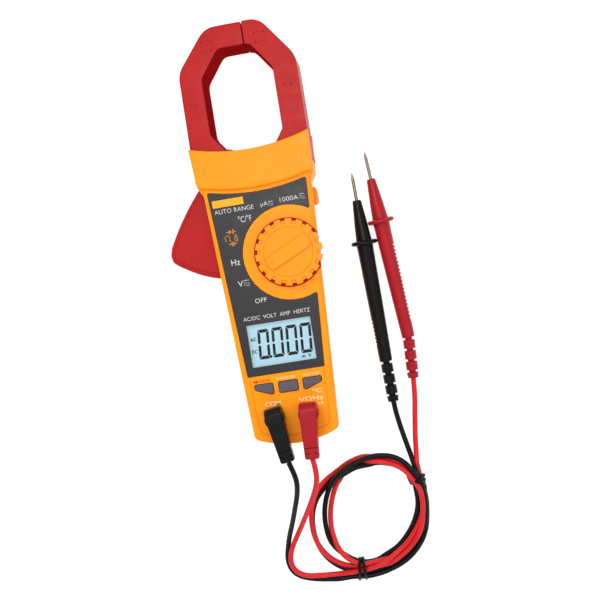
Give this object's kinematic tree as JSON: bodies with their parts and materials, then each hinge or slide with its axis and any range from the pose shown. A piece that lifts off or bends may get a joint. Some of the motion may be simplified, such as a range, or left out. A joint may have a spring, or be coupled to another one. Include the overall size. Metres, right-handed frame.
{
  "type": "clamp meter",
  "caption": "Hand-held clamp meter with a hinged jaw and trigger, rotary selector, keys and lit display, and two plugged-in test leads with probes.",
  "frame": {"origin": "on the flat rear face, on the meter's middle line, 110 mm above the bottom end of the casing", "axes": "+Z out of the meter's face, +Y towards the jaws, +X to the right when reading the display"},
  "size_m": [0.1384, 0.3498, 0.0471],
  "materials": {
    "orange_plastic": "satin moulded ABS",
    "red_plastic": "fine satin moulded",
    "core_iron": "laminated",
    "steel": "zinc plated",
    "probe_steel": "polished nickel plate",
    "brass": "turned",
    "panel_film": "fine textured film",
    "clear_lens": "clear acrylic",
    "lcd": "lit display",
    "backlight": "diffuser",
    "black_plastic": "moulded",
    "zebra_rubber": "striped",
    "board": "solder mask",
    "battery_can": "printed can",
    "key_rubber": "satin",
    "black_lead": "soft satin",
    "red_lead": "soft satin",
    "tie_plastic": "coated wire"
  },
  "bodies": {
    "root": {"front_casing": "orange_plastic", "rear_casing": "orange_plastic", "fixed_jaw_front": "red_plastic", "fixed_jaw_rear": "red_plastic", "fixed_core": "core_iron", "casing_screw_1": "steel", "casing_screw_2": "steel", "casing_screw_3": "steel", "casing_screw_4": "steel", "detent_leaf": "steel", "black_probe_tip": "probe_steel", "red_probe_tip": "probe_steel", "black_plug_pin": "probe_steel", "red_plug_pin": "probe_steel", "jaw_pivot_bush": "brass", "com_jack": "brass", "volt_jack": "brass", "face_panel": "panel_film", "display_lens": "clear_lens", "lcd_glass": "lcd", "backlight_panel": "backlight", "hall_sensor": "black_plastic", "select_switch": "black_plastic", "function_switch": "black_plastic", "range_switch": "black_plastic", "side_switch": "black_plastic", "buzzer": "black_plastic", "battery_snap": "black_plastic", "jack_block": "black_plastic", "zebra_strip": "zebra_rubber", "main_pcb": "board", "battery": "battery_can", "black_plug": "black_lead", "black_probe": "black_lead", "black_lead_in": "black_lead", "black_lead_out": "black_lead", "lead_coil": "black_lead", "red_plug": "red_lead", "red_probe": "red_lead", "red_lead_in": "red_lead", "red_lead_out": "red_lead", "upper_tie": "tie_plastic", "lower_tie": "tie_plastic"},
    "moving_jaw": {"moving_jaw_front": "red_plastic", "moving_jaw_rear": "red_plastic", "moving_core": "core_iron", "trigger_spring": "steel"},
    "dial": {"selector_dial": "orange_plastic", "dial_rotor": "black_plastic"},
    "select_key": {"select_button": "key_rubber"},
    "function_key": {"function_button": "key_rubber"},
    "range_key": {"range_button": "key_rubber"},
    "side_key": {"side_button": "orange_plastic"},
    "battery_cover": {"battery_door": "orange_plastic", "battery_door_screw": "steel"}
  },
  "joints": [
    {"name": "jaw_opening", "type": "hinge", "parent": "root", "child": "moving_jaw", "pos_m": [-0.016, 0.056, 0.02], "axis": [0, 0, 1], "range_deg": [0, 28], "stiffness_Nm_per_rad": 1.6, "springref_deg": -17.19},
    {"name": "dial_turn", "type": "hinge", "parent": "root", "child": "dial", "pos_m": [0.0129, 0.0012, 0.035], "axis": [0, 0, 1], "range_deg": [-128, 25.6]},
    {"name": "select_press", "type": "slide", "parent": "root", "child": "select_key", "axis": [0, 0, -1], "range_m": [0, 0.0008], "stiffness_N_per_m": 1500, "springref_m": -0.0004},
    {"name": "function_press", "type": "slide", "parent": "root", "child": "function_key", "axis": [0, 0, -1], "range_m": [0, 0.0008], "stiffness_N_per_m": 1500, "springref_m": -0.0004},
    {"name": "range_press", "type": "slide", "parent": "root", "child": "range_key", "axis": [0, 0, -1], "range_m": [0, 0.0008], "stiffness_N_per_m": 1500, "springref_m": -0.0004},
    {"name": "side_press", "type": "slide", "parent": "root", "child": "side_key", "axis": [-1, 0, 0], "range_m": [0, 0.0012], "stiffness_N_per_m": 1500, "springref_m": -0.0004},
    {"name": "battery_cover_off", "type": "slide", "parent": "root", "child": "battery_cover", "axis": [0, 0, -1], "range_m": [0, 0.02]}
  ]
}
